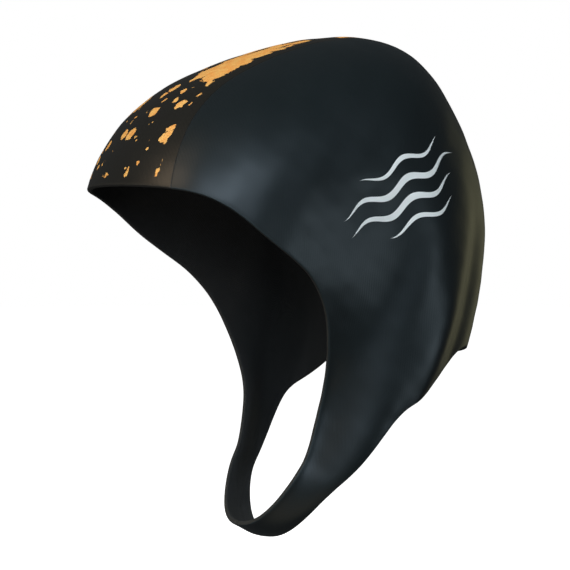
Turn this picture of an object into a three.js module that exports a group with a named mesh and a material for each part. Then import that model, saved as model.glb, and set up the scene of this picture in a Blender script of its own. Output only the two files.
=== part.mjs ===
// A neoprene swim hood with a chin strap, as it stands on a head.
// Units are millimetres. +Z is up, -Y is where the face looks out, and +X is the wearer's left.
// The origin is on the inside of the crown, at its highest point, where the hood rests on the head.
//
// The hood is a wall of sheet rubber round the face opening. One surface carries all three pieces:
//   a head form gives the shape of the head, jaw and chin,
//   ribs run over that form from the face edge to the neck edge,
//   dents push the form in or out where the rubber is pulled or slack.
// The centre band lies between the two seam ribs, and each side panel runs from its seam rib
// down to the middle of the chin strap.

import * as THREE from "three";

// Sizes of the hood
const HOOD_LENGTH = 199;
const HOOD_WIDTH = 158;
const HOOD_HEIGHT = 239;
const WALL = 2.5;
const SEAM_GAP = 0.3;

// The side pole is the middle of each ear side, the axis that the form turns round.
// It lies ahead of the crown and below it.
const POLE_AHEAD_SHARE = 0.1;
const CROWN_ABOVE_POLE_SHARE = 0.31;

// Profile of the head form in the middle plane, seen from the side.
// One row for every 30 degrees round the side pole, from straight ahead and up over the crown.
// back: distance behind the pole, share of the length.
// up: distance above the pole, share of the height.
// fullness: how much the form bulges sideways between the pole and the middle plane.
const PROFILE = [
  { back: -0.55, up: 0, fullness: 0.45 },
  { back: -0.41, up: 0.185, fullness: 0.3 },
  { back: -0.195, up: 0.262, fullness: 0.2 },
  { back: 0, up: 0.312, fullness: 0.2 },
  { back: 0.215, up: 0.318, fullness: 0.2 },
  { back: 0.348, up: 0.173, fullness: 0.2 },
  { back: 0.452, up: 0, fullness: 0.2 },
  { back: 0.44, up: -0.205, fullness: 0.18 },
  { back: 0.33, up: -0.5, fullness: 0.2 },
  { back: -0.005, up: -0.757, fullness: 0.14 },
  { back: -0.385, up: -0.6, fullness: 0.12 },
  { back: -0.54, up: -0.26, fullness: 0.35 },
];

// Ribs of one side, from the middle of the crown (row 0) to the middle of the chin (row 10).
// The seam of the centre band is the rib of row 1.
// around: angle round the side pole, 0 straight ahead, 90 over the crown, in degrees.
// out: angle out from the middle plane towards the side pole, in degrees.
// bend: 1 where the rib runs right round the side pole over the crown, 0 where it runs under
// the chin without going round the pole, and between them where it passes near the pole. Above 1
// the rib turns further on its way, which draws the seam in towards the middle of the crown.
const RIBS = [
  { faceAround: 3, faceOut: 0, neckAround: 222, neckOut: 0, bend: 0.96 },
  { faceAround: 1.5, faceOut: 33.5, neckAround: 224, neckOut: 32, bend: 1.08 },
  { faceAround: -3, faceOut: 45, neckAround: 232.5, neckOut: 39.5, bend: 0.98 },
  { faceAround: -12, faceOut: 55.5, neckAround: 243, neckOut: 43.5, bend: 0.93 },
  { faceAround: -42, faceOut: 70, neckAround: 250, neckOut: 46, bend: 0.76 },
  { faceAround: -72, faceOut: 69, neckAround: 253.8, neckOut: 47, bend: 0.46 },
  { faceAround: -82, faceOut: 55.5, neckAround: 258.7, neckOut: 46, bend: 0.19 },
  { faceAround: -82, faceOut: 46.5, neckAround: 264.2, neckOut: 42, bend: 0.08 },
  { faceAround: -81, faceOut: 34.5, neckAround: 269.6, neckOut: 36, bend: 0.03 },
  { faceAround: -78.6, faceOut: 32, neckAround: 275, neckOut: 30, bend: 0 },
  { faceAround: -74, faceOut: 0, neckAround: 278.4, neckOut: 0, bend: 0 },
];
const SEAM_RIB = 1;
const CHIN_RIB = RIBS.length - 1;

// Dents and bulges on one side, repeated on the other.
// rib: place in the rows above. across: 0 at the face edge, 1 at the neck edge.
// ribReach, acrossReach: how far it spreads. height: share of the width, below zero for a dent.
const DENTS = [
  // the elastic face edge pulls in over the cheek
  { rib: 6.5, across: 0, ribReach: 2, acrossReach: 0.55, height: -0.14 },
  // the strap is drawn in above the chin and comes out again round the chin
  { rib: 8.7, across: 0, ribReach: 0.9, acrossReach: 0.9, height: -0.026 },
  { rib: 9.7, across: 0.2, ribReach: 0.4, acrossReach: 0.9, height: 0.012 },
  // hollow beside the nape, where the side panel drops in towards the band
  { rib: 2.25, across: 0.85, ribReach: 1, acrossReach: 0.21, height: -0.028 },
  // full ridge behind the ear
  { rib: 4.3, across: 0.8, ribReach: 0.8, acrossReach: 0.2, height: 0.019 },
  // slack hollow in front of the ear
  { rib: 4.6, across: 0.3, ribReach: 0.9, acrossReach: 0.16, height: -0.012 },
  // soft swell over the ear
  { rib: 4.1, across: 0.52, ribReach: 0.8, acrossReach: 0.14, height: 0.012 },
];

// Steps of the mesh
const BAND_STEPS_ACROSS = 12;
const BAND_STEPS_ALONG = 54;
const PANEL_STEPS_DOWN = 34;
const PANEL_STEPS_BACK = 30;

// Step to each side of a place, in ribs and in share across, when a slope is measured there.
const SLOPE_STEP = 0.001;
// A rib that turns by less than this, in radians, is straight.
const STRAIGHT_TURN = 0.0001;

// Finishes of the plain solids
const BAND_COLOUR = 0x6b4a2c;
const PANEL_COLOUR = 0x222b2d;
const RUBBER_ROUGHNESS = 0.5;
const RUBBER_METALNESS = 0;

const DEGREES = Math.PI / 180;

// A smooth curve through a column of values, near each value but without corners.
// The value beyond an end comes from endRule.
function smoothValue(values, place, endRule) {
  const start = Math.floor(place);
  const f = place - start;
  const before = endRule(values, start - 1);
  const first = endRule(values, start);
  const second = endRule(values, start + 1);
  const after = endRule(values, start + 2);
  return (
    (before * (1 - f) ** 3 +
      first * (3 * f ** 3 - 6 * f ** 2 + 4) +
      second * (-3 * f ** 3 + 3 * f ** 2 + 3 * f + 1) +
      after * f ** 3) /
    6
  );
}

// The column goes round and starts again.
function roundEnd(values, k) {
  const n = values.length;
  return values[((k % n) + n) % n];
}

// The column is the same on both sides of its first and last row.
function evenEnd(values, k) {
  const last = values.length - 1;
  const up = Math.abs(k);
  return values[up > last ? 2 * last - up : up];
}

// The column changes sign at its first and last row.
function oddEnd(values, k) {
  const last = values.length - 1;
  if (k < 0) return -values[-k];
  if (k > last) return -values[2 * last - k];
  return values[k];
}

const profileBack = PROFILE.map((row) => row.back);
const profileUp = PROFILE.map((row) => row.up);
const profileFullness = PROFILE.map((row) => row.fullness);
const faceAround = RIBS.map((row) => row.faceAround);
const faceOut = RIBS.map((row) => row.faceOut);
const neckAround = RIBS.map((row) => row.neckAround);
const neckOut = RIBS.map((row) => row.neckOut);
const ribBend = RIBS.map((row) => row.bend);

// Point of the head form at an angle round the side pole and an angle out towards it.
function formPoint(around, out) {
  const rows = 360 / PROFILE.length;
  const place = (((around % 360) + 360) % 360) / rows;
  const back = smoothValue(profileBack, place, roundEnd) * HOOD_LENGTH;
  const up = smoothValue(profileUp, place, roundEnd) * HOOD_HEIGHT;
  const fullness = smoothValue(profileFullness, place, roundEnd);
  const q = Math.cos(out * DEGREES);
  const sideways = Math.sin(out * DEGREES) * (1 + fullness * q * q);
  return new THREE.Vector3(
    (HOOD_WIDTH / 2) * sideways,
    -POLE_AHEAD_SHARE * HOOD_LENGTH + back * q,
    WALL - CROWN_ABOVE_POLE_SHARE * HOOD_HEIGHT + up * q,
  );
}

// Point of the form on a rib. The rib is an arc in a flat map round the side pole, where the
// distance from the middle of the map is how far the point is from the pole in degrees.
function ribPoint(rib, across) {
  const row = Math.abs(rib);
  const fromAround = smoothValue(faceAround, row, evenEnd);
  const fromReach = 90 - smoothValue(faceOut, row, oddEnd);
  const toAround = smoothValue(neckAround, row, evenEnd);
  const toReach = 90 - smoothValue(neckOut, row, oddEnd);
  const bend = smoothValue(ribBend, row, evenEnd);
  const turn = (toAround - fromAround - 360 * (1 - bend)) * DEGREES;
  const fromU = -fromReach * Math.cos(fromAround * DEGREES);
  const fromV = fromReach * Math.sin(fromAround * DEGREES);
  const chordU = -toReach * Math.cos(toAround * DEGREES) - fromU;
  const chordV = toReach * Math.sin(toAround * DEGREES) - fromV;
  let along = across;
  let bow = 0;
  if (Math.abs(turn) > STRAIGHT_TURN) {
    const angle = turn * (across - 0.5);
    along = 0.5 + Math.sin(angle) / (2 * Math.sin(turn / 2));
    bow = (Math.cos(angle) - Math.cos(turn / 2)) / (2 * Math.sin(turn / 2));
  }
  const u = fromU + chordU * along - chordV * bow;
  const v = fromV + chordV * along + chordU * bow;
  const point = formPoint(Math.atan2(v, -u) / DEGREES, 90 - Math.hypot(u, v));
  if (rib < 0) point.x = -point.x;
  return point;
}

// Outward direction of a surface given as a function of rib and across.
function outward(surface, rib, across) {
  const down = surface(rib + SLOPE_STEP, across).sub(surface(rib - SLOPE_STEP, across));
  const back = surface(rib, across + SLOPE_STEP).sub(surface(rib, across - SLOPE_STEP));
  return down.cross(back).normalize();
}

// Height of all dents and bulges at a place, in mm. Each one also counts from beyond the middle
// of the crown and beyond the middle of the chin, so that the two sides meet without a crease.
function dentHeight(rib, across) {
  const row = Math.abs(rib);
  let height = 0;
  for (const dent of DENTS) {
    const far = ((across - dent.across) / dent.acrossReach) ** 2;
    for (const place of [row, -row, 2 * CHIN_RIB - row]) {
      const near = ((place - dent.rib) / dent.ribReach) ** 2;
      height += dent.height * HOOD_WIDTH * Math.exp(-near - far);
    }
  }
  return height;
}

// Point of the outer face of the hood.
function hoodPoint(rib, across) {
  const push = outward(ribPoint, rib, across).multiplyScalar(dentHeight(rib, across));
  return ribPoint(rib, across).add(push);
}

// A closed wall between two ribs, with an outer and an inner face and a rim all round.
// Half of the seam gap is taken off at both ribs.
function wallGeometry(fromRib, toRib, stepsDown, stepsBack) {
  const outer = [];
  const inner = [];
  for (let i = 0; i <= stepsDown; i += 1) {
    const rib = fromRib + ((toRib - fromRib) * i) / stepsDown;
    for (let j = 0; j <= stepsBack; j += 1) {
      const across = j / stepsBack;
      const point = hoodPoint(rib, across);
      const normal = outward(hoodPoint, rib, across);
      if (i === 0 || i === stepsDown) {
        const later = hoodPoint(rib + SLOPE_STEP * Math.sign(toRib - fromRib), across);
        const onwards = later.sub(point).normalize();
        point.addScaledVector(onwards, (i === 0 ? SEAM_GAP : -SEAM_GAP) / 2);
      }
      outer.push(point);
      inner.push(point.clone().addScaledVector(normal, -WALL));
    }
  }
  const points = [...outer, ...inner];
  const count = outer.length;
  const faces = [];
  const at = (i, j) => i * (stepsBack + 1) + j;
  const flip = toRib > fromRib;
  const quad = (a, b, c, d) => {
    if (flip) faces.push(a, c, b, a, d, c);
    else faces.push(a, b, c, a, c, d);
  };
  for (let i = 0; i < stepsDown; i += 1) {
    for (let j = 0; j < stepsBack; j += 1) {
      const a = at(i, j);
      const b = at(i, j + 1);
      const c = at(i + 1, j + 1);
      const d = at(i + 1, j);
      quad(a, b, c, d);
      quad(a + count, d + count, c + count, b + count);
    }
    quad(at(i, 0), at(i + 1, 0), at(i + 1, 0) + count, at(i, 0) + count);
    quad(
      at(i, stepsBack),
      at(i, stepsBack) + count,
      at(i + 1, stepsBack) + count,
      at(i + 1, stepsBack),
    );
  }
  for (let j = 0; j < stepsBack; j += 1) {
    quad(at(0, j), at(0, j) + count, at(0, j + 1) + count, at(0, j + 1));
    quad(
      at(stepsDown, j),
      at(stepsDown, j + 1),
      at(stepsDown, j + 1) + count,
      at(stepsDown, j) + count,
    );
  }
  const geometry = new THREE.BufferGeometry();
  const flat = points.flatMap((p) => [p.x, p.y, p.z]);
  geometry.setAttribute("position", new THREE.Float32BufferAttribute(flat, 3));
  geometry.setIndex(faces);
  geometry.computeVertexNormals();
  return geometry;
}

function addPiece(group, name, geometry, colour) {
  const material = new THREE.MeshStandardMaterial({
    color: colour,
    roughness: RUBBER_ROUGHNESS,
    metalness: RUBBER_METALNESS,
  });
  material.name = `${name}_material`;
  const mesh = new THREE.Mesh(geometry, material);
  mesh.name = name;
  group.add(mesh);
}

const group = new THREE.Group();
group.name = "swim_hood";

addPiece(
  group,
  "centre_band",
  wallGeometry(-SEAM_RIB, SEAM_RIB, BAND_STEPS_ACROSS, BAND_STEPS_ALONG),
  BAND_COLOUR,
);
addPiece(
  group,
  "side_panel_left",
  wallGeometry(SEAM_RIB, CHIN_RIB, PANEL_STEPS_DOWN, PANEL_STEPS_BACK),
  PANEL_COLOUR,
);
addPiece(
  group,
  "side_panel_right",
  wallGeometry(-SEAM_RIB, -CHIN_RIB, PANEL_STEPS_DOWN, PANEL_STEPS_BACK),
  PANEL_COLOUR,
);

export default group;
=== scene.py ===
"""Dresses the swim hood: rubber panels, a splatter print, stitched seams and a studio."""

import logging
import math
from dataclasses import dataclass, field
from enum import Enum
from typing import Any

import bpy
import numpy as np
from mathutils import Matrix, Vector


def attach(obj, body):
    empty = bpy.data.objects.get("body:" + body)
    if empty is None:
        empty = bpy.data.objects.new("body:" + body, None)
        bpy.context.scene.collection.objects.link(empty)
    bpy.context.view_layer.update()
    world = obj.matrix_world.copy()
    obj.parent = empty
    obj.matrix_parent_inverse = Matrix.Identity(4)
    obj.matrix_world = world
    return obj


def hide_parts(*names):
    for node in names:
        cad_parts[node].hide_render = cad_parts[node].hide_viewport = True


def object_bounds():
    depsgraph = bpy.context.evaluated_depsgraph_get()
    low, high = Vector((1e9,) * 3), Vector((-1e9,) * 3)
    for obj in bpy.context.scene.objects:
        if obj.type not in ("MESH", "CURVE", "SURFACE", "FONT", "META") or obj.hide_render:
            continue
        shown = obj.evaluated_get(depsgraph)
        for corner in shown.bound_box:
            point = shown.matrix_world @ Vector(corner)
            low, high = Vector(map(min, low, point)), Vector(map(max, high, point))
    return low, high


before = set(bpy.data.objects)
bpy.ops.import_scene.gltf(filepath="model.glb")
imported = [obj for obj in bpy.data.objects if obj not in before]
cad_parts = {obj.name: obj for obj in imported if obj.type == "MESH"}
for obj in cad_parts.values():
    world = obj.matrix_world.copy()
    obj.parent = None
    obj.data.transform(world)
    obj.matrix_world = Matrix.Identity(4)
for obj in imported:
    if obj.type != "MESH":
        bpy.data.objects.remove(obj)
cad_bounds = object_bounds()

Array = np.ndarray
Source = Any
Rgb = tuple[float, float, float]
Socket = bpy.types.NodeSocket
Surface = tuple[Source, Source, Source]
LOG = logging.getLogger("swim_hood")

# Metres of sheet in one unit of the cut UV.
UV_METRES = 0.4


class Ends(Enum):
    """How a column of values goes on past its first and last row."""

    ROUND = "starts again"
    EVEN = "the same on both sides"
    ODD = "changes sign"


class Face(Enum):
    """The three kinds of surface on a panel, numbered as its material slots."""

    SKIN = 0
    CUT = 1
    LINING = 2


@dataclass(frozen=True)
class ProfileRow:
    """One point of the head form's profile, as shares of its length and height."""

    back: float
    up: float
    fullness: float


@dataclass(frozen=True)
class RibRow:
    """Where one rib starts at the face edge and ends at the neck edge, in degrees."""

    face_around: float
    face_out: float
    neck_around: float
    neck_out: float
    bend: float


@dataclass(frozen=True)
class Dent:
    """A push in or out of the form, at a place given by rib and share across."""

    rib: float
    across: float
    rib_reach: float
    across_reach: float
    height: float


@dataclass(frozen=True)
class RippleRow:
    """One set of shallow waves: a sine over back and up, times a second one, in radians a metre."""

    share: float
    back: float
    up: float
    phase: float
    bend: float
    beat_back: float
    beat_up: float
    beat_phase: float


def smooth_value(values: list[float], place: Array, ends: Ends) -> Array:
    """Reads a smooth curve that passes near a column of values.

    Args:
        values: The column, one value a row.
        place: Where to read it, counted in rows.
        ends: What the column does past its ends.

    Returns:
        The value at each place.
    """
    column = np.asarray(values, float)
    last = len(values) - 1
    start = np.floor(place).astype(int)
    f = place - start

    def row(k: Array) -> Array:
        """Reads the column at whole rows, also past its ends.

        Args:
            k: Row numbers.

        Returns:
            The value at each row.
        """
        if ends is Ends.ROUND:
            return column[k % len(values)]
        beyond = (k < 0) | (k > last)
        k = np.abs(k)
        k = np.where(k > last, 2 * last - k, k)
        sign = np.where(beyond, -1.0, 1.0) if ends is Ends.ODD else 1.0
        return column[k] * sign

    return (
        row(start - 1) * (1 - f) ** 3
        + row(start) * (3 * f**3 - 6 * f**2 + 4)
        + row(start + 1) * (-3 * f**3 + 3 * f**2 + 3 * f + 1)
        + row(start + 2) * f**3
    ) / 6


def unit(vectors: Array) -> Array:
    """Returns the vectors with a length of one."""
    return vectors / (np.linalg.norm(vectors, axis=-1, keepdims=True) + 1e-15)


def run_along(points: Array, axis: int = 0) -> Array:
    """Measures the length along lines of points, from zero at the first one.

    Args:
        points: The points, in metres.
        axis: The axis that the lines run along.

    Returns:
        The length at each point, in metres.
    """
    step = np.linalg.norm(np.diff(points, axis=axis), axis=-1)
    start = np.zeros_like(np.take(step, [0], axis=axis))
    return np.concatenate([start, np.cumsum(step, axis=axis)], axis=axis)


def put(name: str, data: Any) -> bpy.types.Object:
    """Makes an object of a mesh, a light or a camera, and puts it in the scene.

    Args:
        name: The object's name.
        data: The mesh, the light or the camera.

    Returns:
        The object.
    """
    made = bpy.data.objects.new(name, data)
    bpy.context.scene.collection.objects.link(made)
    return made


def keep(mesh: bpy.types.Mesh, name: str, values: Array) -> None:
    """Keeps a number or a vector at each vertex of a mesh.

    Args:
        mesh: The mesh.
        name: The attribute's name.
        values: One number or vector for each vertex.
    """
    kind, key = ("FLOAT", "value") if values.ndim == 1 else ("FLOAT_VECTOR", "vector")
    layer = mesh.attributes.new(name, kind, "POINT")
    layer.data.foreach_set(key, values.astype(np.float32).ravel())


@dataclass
class HoodForm:
    """The surface that all panels lie on: a head form, ribs over it, dents and soft ripples."""

    length: float = 0.199
    width: float = 0.158
    height: float = 0.239
    wall: float = 0.0025
    pole_ahead: float = 0.1
    crown_above_pole: float = 0.31
    slope_step: float = 0.001
    least_turn: float = 1e-4
    ripple: float = 0.00012
    bend_wave: float = 90.0
    profile: tuple[ProfileRow, ...] = (
        ProfileRow(-0.55, 0, 0.45),
        ProfileRow(-0.41, 0.185, 0.3),
        ProfileRow(-0.195, 0.262, 0.2),
        ProfileRow(0, 0.312, 0.2),
        ProfileRow(0.215, 0.318, 0.2),
        ProfileRow(0.348, 0.173, 0.2),
        ProfileRow(0.452, 0, 0.2),
        ProfileRow(0.44, -0.205, 0.18),
        ProfileRow(0.33, -0.5, 0.2),
        ProfileRow(-0.005, -0.757, 0.14),
        ProfileRow(-0.385, -0.6, 0.12),
        ProfileRow(-0.54, -0.26, 0.35),
    )
    ribs: tuple[RibRow, ...] = (
        RibRow(3, 0, 222, 0, 0.96),
        RibRow(1.5, 33.5, 224, 32, 1.08),
        RibRow(-3, 45, 232.5, 39.5, 0.98),
        RibRow(-12, 55.5, 243, 43.5, 0.93),
        RibRow(-42, 70, 250, 46, 0.76),
        RibRow(-72, 69, 253.8, 47, 0.46),
        RibRow(-82, 55.5, 258.7, 46, 0.19),
        RibRow(-82, 46.5, 264.2, 42, 0.08),
        RibRow(-81, 34.5, 269.6, 36, 0.03),
        RibRow(-78.6, 32, 275, 30, 0),
        RibRow(-74, 0, 278.4, 0, 0),
    )
    dents: tuple[Dent, ...] = (
        Dent(6.5, 0, 2, 0.55, -0.14),
        Dent(8.7, 0, 0.9, 0.9, -0.026),
        Dent(9.7, 0.2, 0.4, 0.9, 0.012),
        Dent(2.25, 0.85, 1, 0.21, -0.028),
        Dent(4.3, 0.8, 0.8, 0.2, 0.019),
        Dent(4.6, 0.3, 0.9, 0.16, -0.012),
        Dent(4.1, 0.52, 0.8, 0.14, 0.012),
    )
    ripple_rows: tuple[RippleRow, ...] = (
        RippleRow(1, 210, 95, 1.3, 0, -60, 120, 0.4),
        RippleRow(0.6, 330, -140, 2.1, 1.5, 0, 0, math.pi / 2),
        RippleRow(0.35, 180, 520, 0.8, 0, 260, 0, 0),
    )

    @property
    def chin_rib(self) -> int:
        """The rib in the middle of the chin."""
        return len(self.ribs) - 1

    def read(self, rows: tuple, name: str, place: Array, ends: Ends) -> Array:
        """Reads one named column of a table, at places counted in rows."""
        return smooth_value([getattr(row, name) for row in rows], place, ends)

    def form_point(self, around: Array, out: Array) -> Array:
        """Finds a point of the head form.

        Args:
            around: Angle round the side pole, in degrees.
            out: Angle out from the middle plane towards the pole, in degrees.

        Returns:
            Points in metres.
        """
        place = (around % 360) * len(self.profile) / 360
        back = self.read(self.profile, "back", place, Ends.ROUND) * self.length
        up = self.read(self.profile, "up", place, Ends.ROUND) * self.height
        fullness = self.read(self.profile, "fullness", place, Ends.ROUND)
        q = np.cos(np.radians(out))
        sideways = np.sin(np.radians(out)) * (1 + fullness * q * q)
        return np.stack(
            [
                self.width / 2 * sideways,
                -self.pole_ahead * self.length + back * q,
                self.wall - self.crown_above_pole * self.height + up * q,
            ],
            axis=-1,
        )

    def rib_point(self, rib: Array, across: Array) -> Array:
        """Finds a point of the form on a rib.

        Args:
            rib: Rib number, below zero on the wearer's right.
            across: 0 at the face edge and 1 at the neck edge.

        Returns:
            Points in metres.
        """
        row = np.abs(rib)
        from_around = self.read(self.ribs, "face_around", row, Ends.EVEN)
        from_reach = 90 - self.read(self.ribs, "face_out", row, Ends.ODD)
        to_around = self.read(self.ribs, "neck_around", row, Ends.EVEN)
        to_reach = 90 - self.read(self.ribs, "neck_out", row, Ends.ODD)
        bend = self.read(self.ribs, "bend", row, Ends.EVEN)
        turn = np.radians(to_around - from_around - 360 * (1 - bend))
        turn = np.where(np.abs(turn) < self.least_turn, self.least_turn, turn)
        from_u = -from_reach * np.cos(np.radians(from_around))
        from_v = from_reach * np.sin(np.radians(from_around))
        chord_u = -to_reach * np.cos(np.radians(to_around)) - from_u
        chord_v = to_reach * np.sin(np.radians(to_around)) - from_v
        angle = turn * (across - 0.5)
        along = 0.5 + np.sin(angle) / (2 * np.sin(turn / 2))
        bow = (np.cos(angle) - np.cos(turn / 2)) / (2 * np.sin(turn / 2))
        u = from_u + chord_u * along - chord_v * bow
        v = from_v + chord_v * along + chord_u * bow
        point = self.form_point(np.degrees(np.arctan2(v, -u)), 90 - np.hypot(u, v))
        point[..., 0] *= np.where(rib < 0, -1.0, 1.0)
        return point

    def slopes(self, surface: Any, rib: Array, across: Array) -> tuple[Array, Array]:
        """Measures how a surface runs at a place.

        Args:
            surface: Function of rib and across.
            rib: Rib number.
            across: Share across.

        Returns:
            The change in metres for one rib, and for the whole way across.
        """
        e = self.slope_step
        down = (surface(rib + e, across) - surface(rib - e, across)) / (2 * e)
        back = (surface(rib, across + e) - surface(rib, across - e)) / (2 * e)
        return down, back

    def push(self, rib: Array, across: Array) -> Array:
        """Measures how far the dents push the form out.

        Args:
            rib: Rib number.
            across: Share across.

        Returns:
            Height over the form at each place, in metres.
        """
        row = np.abs(rib)
        height = np.zeros(np.broadcast(rib, across).shape)
        for dent in self.dents:
            far = ((across - dent.across) / dent.across_reach) ** 2
            for place in (row, -row, 2 * self.chin_rib - row):
                near = ((place - dent.rib) / dent.rib_reach) ** 2
                height = height + dent.height * self.width * np.exp(-near - far)
        return height

    def ripples(self, point: Array) -> Array:
        """Measures the shallow waves of stretched rubber.

        Args:
            point: Points of the form, in metres.

        Returns:
            Height over the form at each point, in metres.
        """
        x, y, z = (point[..., k] for k in range(3))
        bend = np.sin(self.bend_wave * x)
        waves = np.zeros(x.shape)
        for row in self.ripple_rows:
            wave = np.sin(row.back * y + row.up * z + row.phase + row.bend * bend)
            beat = np.sin(row.beat_back * y + row.beat_up * z + row.beat_phase)
            waves = waves + row.share * wave * beat
        return self.ripple * waves

    def skin_point(self, rib: Array, across: Array) -> Array:
        """Finds a point of the outer skin.

        Args:
            rib: Rib number.
            across: Share across.

        Returns:
            Points in metres.
        """
        point = self.rib_point(rib, across)
        down, back = self.slopes(self.rib_point, rib, across)
        out = unit(np.cross(down, back))
        height = self.push(rib, across) + self.ripples(point)
        return point + out * height[..., None]

    def outward(self, rib: Array, across: Array) -> Array:
        """Returns the outward direction of the outer skin."""
        return unit(np.cross(*self.slopes(self.skin_point, rib, across)))


class Nodes:
    """Adds nodes to one tree in few words."""

    def __init__(self, tree: bpy.types.NodeTree) -> None:
        """Keeps the tree that the nodes go into."""
        self.tree = tree

    def add(
        self, kind: str, inputs: dict[str | int, Source] | None = None, **settings: Any
    ) -> bpy.types.Node:
        """Adds a node.

        Args:
            kind: The node's type.
            inputs: What goes into its inputs, each given by name or number.
            **settings: Its properties.

        Returns:
            The node.
        """
        node = self.tree.nodes.new(kind)
        for name, value in settings.items():
            setattr(node, name, value)
        for key, source in (inputs or {}).items():
            self.feed(node.inputs[key], source)
        return node

    def feed(self, socket: Socket, source: Source) -> None:
        """Links a socket to another or to a node's first output, or sets its plain value.

        Args:
            socket: The input.
            source: A socket, a node or a plain value.
        """
        if isinstance(source, bpy.types.Node):
            source = source.outputs[0]
        if isinstance(source, Socket):
            self.tree.links.new(source, socket)
        else:
            socket.default_value = source

    def math(self, operation: str, *sources: Source) -> Socket:
        """Adds a Math node and returns its result."""
        return self.add("ShaderNodeMath", dict(enumerate(sources)), operation=operation).outputs[0]

    def plus(self, first: Source, second: Source) -> Socket:
        """Returns the sum."""
        return self.math("ADD", first, second)

    def minus(self, first: Source, second: Source) -> Socket:
        """Returns the difference."""
        return self.math("SUBTRACT", first, second)

    def times(self, first: Source, second: Source) -> Socket:
        """Returns the product."""
        return self.math("MULTIPLY", first, second)

    def over(self, first: Source, second: Source) -> Socket:
        """Returns the quotient."""
        return self.math("DIVIDE", first, second)

    def turns(self, length: Source, pitch: Source) -> Socket:
        """Returns an angle that goes once round over each pitch of a length."""
        return self.times(self.over(length, pitch), math.tau)

    def vector(self, operation: str, *sources: Source) -> Socket:
        """Adds a Vector Math node and returns its vector."""
        inputs = dict(enumerate(sources))
        return self.add("ShaderNodeVectorMath", inputs, operation=operation).outputs[0]

    def scaled(self, vector: Source, factor: Source) -> Socket:
        """Returns a vector times a number."""
        inputs = {0: vector, "Scale": factor}
        return self.add("ShaderNodeVectorMath", inputs, operation="SCALE").outputs[0]

    def between(self, value: Source, low: Source, high: Source) -> Socket:
        """Turns a value into 0 at low and 1 at high, with a smooth step."""
        inputs = {"Value": value, "From Min": low, "From Max": high}
        return self.add("ShaderNodeMapRange", inputs, interpolation_type="SMOOTHSTEP").outputs[0]

    def mix(self, factor: Source, first: Source, second: Source) -> Socket:
        """Mixes two colours."""
        inputs = {"Factor": factor, 6: first, 7: second}
        return self.add("ShaderNodeMix", inputs, data_type="RGBA").outputs[2]

    def noise(
        self, vector: Source, scale: Source, detail: float = 2.0, distortion: float = 0.0
    ) -> Socket:
        """Adds a Noise texture and returns its value from 0 to 1."""
        inputs = {"Vector": vector, "Scale": scale, "Detail": detail, "Distortion": distortion}
        return self.add("ShaderNodeTexNoise", inputs).outputs["Fac"]

    def cells(self, vector: Source, scale: Source) -> bpy.types.Node:
        """Adds a Voronoi texture of the nearest cell."""
        return self.add("ShaderNodeTexVoronoi", {"Vector": vector, "Scale": scale}, feature="F1")

    def parts(self, vector: Source) -> list[Socket]:
        """Splits a vector into its three numbers."""
        return list(self.add("ShaderNodeSeparateXYZ", {0: vector}).outputs)

    def joined(self, x: Source, y: Source, z: Source = 0.0) -> Socket:
        """Makes a vector of three numbers."""
        return self.add("ShaderNodeCombineXYZ", {0: x, 1: y, 2: z}).outputs[0]

    def group(self, tree: bpy.types.NodeTree, **inputs: Source) -> bpy.types.Node:
        """Places a node group, with inputs named by words joined with an underscore.

        Args:
            tree: The group.
            **inputs: What goes into its inputs.

        Returns:
            The group's node.
        """
        node = self.add("ShaderNodeGroup", node_tree=tree)
        for name, source in inputs.items():
            self.feed(node.inputs[name.replace("_", " ").capitalize()], source)
        return node

    def object_place(self) -> Socket:
        """Returns the place on the object, in metres."""
        return self.add("ShaderNodeTexCoord").outputs["Object"]

    def cut_place(self) -> Socket:
        """Returns the place on the flat cut sheet, in metres."""
        return self.scaled(self.add("ShaderNodeUVMap", uv_map="cut"), UV_METRES)

    def fact(self, name: str) -> Socket:
        """Returns a number that the mesh keeps at each vertex."""
        return self.add("ShaderNodeAttribute", attribute_name=name).outputs["Fac"]


class Kind(Enum):
    """Socket kinds of a node group."""

    VECTOR = "NodeSocketVector"
    NUMBER = "NodeSocketFloat"
    GEOMETRY = "NodeSocketGeometry"


def shader_group(
    name: str, inputs: dict[str, float | None], outputs: tuple[str, ...]
) -> tuple[Nodes, bpy.types.Node, bpy.types.Node]:
    """Starts a shader node group.

    Args:
        name: The group's name.
        inputs: Each input's name and first value, where None is a vector.
        outputs: Names of the outputs, all plain numbers.

    Returns:
        The group's nodes, its input node and its output node.
    """
    tree = bpy.data.node_groups.new(name, "ShaderNodeTree")
    for label, value in inputs.items():
        kind = Kind.VECTOR if value is None else Kind.NUMBER
        socket = tree.interface.new_socket(name=label, in_out="INPUT", socket_type=kind.value)
        if value is not None:
            socket.default_value = value
    for label in outputs:
        tree.interface.new_socket(name=label, in_out="OUTPUT", socket_type=Kind.NUMBER.value)
    nodes = Nodes(tree)
    return nodes, nodes.add("NodeGroupInput"), nodes.add("NodeGroupOutput")


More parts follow.
